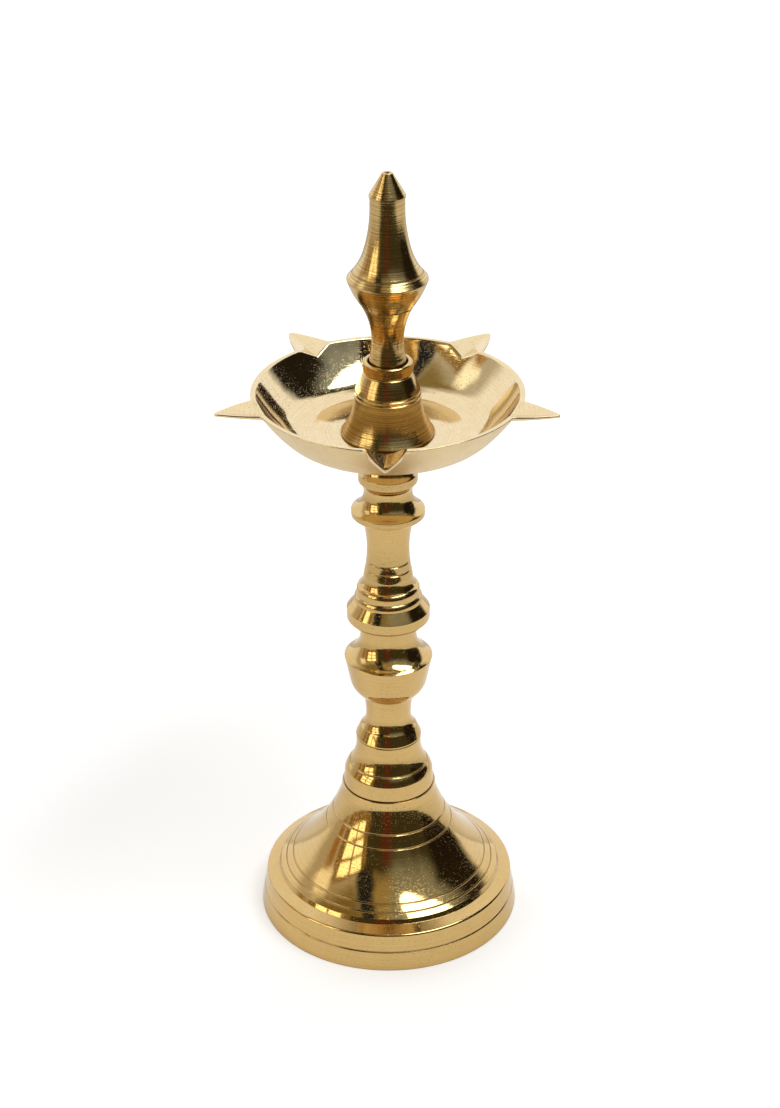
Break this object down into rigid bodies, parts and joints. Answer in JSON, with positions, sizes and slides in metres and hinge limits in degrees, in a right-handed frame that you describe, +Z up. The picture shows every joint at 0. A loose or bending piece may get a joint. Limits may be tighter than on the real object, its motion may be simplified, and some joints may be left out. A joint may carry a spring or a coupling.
{
  "type": "oil lamp",
  "caption": "Free-standing turned brass oil lamp: bell foot, screwed baluster stem, shallow bowl with pointed wick spouts, clamping hub and finial.",
  "frame": {"origin": "centre of the foot, on the surface that the lamp stands on", "axes": "+Z up along the lamp's turning axis, -Y towards the viewer and close to one of the spouts"},
  "size_m": [0.1024, 0.0978, 0.254],
  "materials": {
    "polished_brass": "polished",
    "bowl_brass": "polished, turned inside",
    "turned_brass": "satin, fine turning lines",
    "thread_brass": "cut thread, unpolished"
  },
  "bodies": {
    "base": {"base_bell": "polished_brass", "base_collar": "polished_brass"},
    "base_stud": {"base_stud": "thread_brass"},
    "lower_stem": {"lower_stem": "polished_brass"},
    "mid_stud": {"mid_stud": "thread_brass"},
    "upper_stem": {"upper_stem": "polished_brass"},
    "top_stud": {"top_stud": "thread_brass"},
    "top_collar": {"top_collar": "polished_brass"},
    "oil_bowl": {"oil_bowl": "bowl_brass"},
    "bowl_stud": {"bowl_stud": "thread_brass"},
    "hub": {"hub": "turned_brass"},
    "finial_stud": {"finial_stud": "thread_brass"},
    "finial": {"finial": "turned_brass"}
  },
  "joints": [
    {"name": "lower_stem_turn", "type": "hinge", "parent": "base", "child": "base_stud", "pos_m": [0, 0, 0.0634], "axis": [0, 0, 1], "range_deg": [0, 2160]},
    {"name": "lower_stem_lift", "type": "slide", "parent": "base_stud", "child": "lower_stem", "axis": [0, 0, 1], "range_m": [0, 0.0075]},
    {"name": "upper_stem_turn", "type": "hinge", "parent": "lower_stem", "child": "mid_stud", "pos_m": [0, 0, 0.1066], "axis": [0, 0, 1], "range_deg": [0, 2160]},
    {"name": "upper_stem_lift", "type": "slide", "parent": "mid_stud", "child": "upper_stem", "axis": [0, 0, 1], "range_m": [0, 0.0075]},
    {"name": "top_collar_turn", "type": "hinge", "parent": "upper_stem", "child": "top_stud", "pos_m": [0, 0, 0.1432], "axis": [0, 0, 1], "range_deg": [0, 2160]},
    {"name": "top_collar_lift", "type": "slide", "parent": "top_stud", "child": "top_collar", "axis": [0, 0, 1], "range_m": [0, 0.0075]},
    {"name": "bowl_turn", "type": "hinge", "parent": "top_collar", "child": "oil_bowl", "pos_m": [0, 0, 0.17], "axis": [0, 0, 1], "continuous": true},
    {"name": "hub_turn", "type": "hinge", "parent": "top_collar", "child": "bowl_stud", "pos_m": [0, 0, 0.1713], "axis": [0, 0, 1], "range_deg": [0, 2160]},
    {"name": "hub_lift", "type": "slide", "parent": "bowl_stud", "child": "hub", "axis": [0, 0, 1], "range_m": [0, 0.0075]},
    {"name": "finial_turn", "type": "hinge", "parent": "hub", "child": "finial_stud", "pos_m": [0, 0, 0.1935], "axis": [0, 0, 1], "range_deg": [0, 2520]},
    {"name": "finial_lift", "type": "slide", "parent": "finial_stud", "child": "finial", "axis": [0, 0, 1], "range_m": [0, 0.007]}
  ],
  "couplings": [
    {"joint": "lower_stem_turn", "follows": "lower_stem_lift", "rad_per_m": 5026.5},
    {"joint": "upper_stem_turn", "follows": "upper_stem_lift", "rad_per_m": 5026.5},
    {"joint": "top_collar_turn", "follows": "top_collar_lift", "rad_per_m": 5026.5},
    {"joint": "hub_turn", "follows": "hub_lift", "rad_per_m": 5026.5},
    {"joint": "finial_turn", "follows": "finial_lift", "rad_per_m": 6283.1}
  ]
}
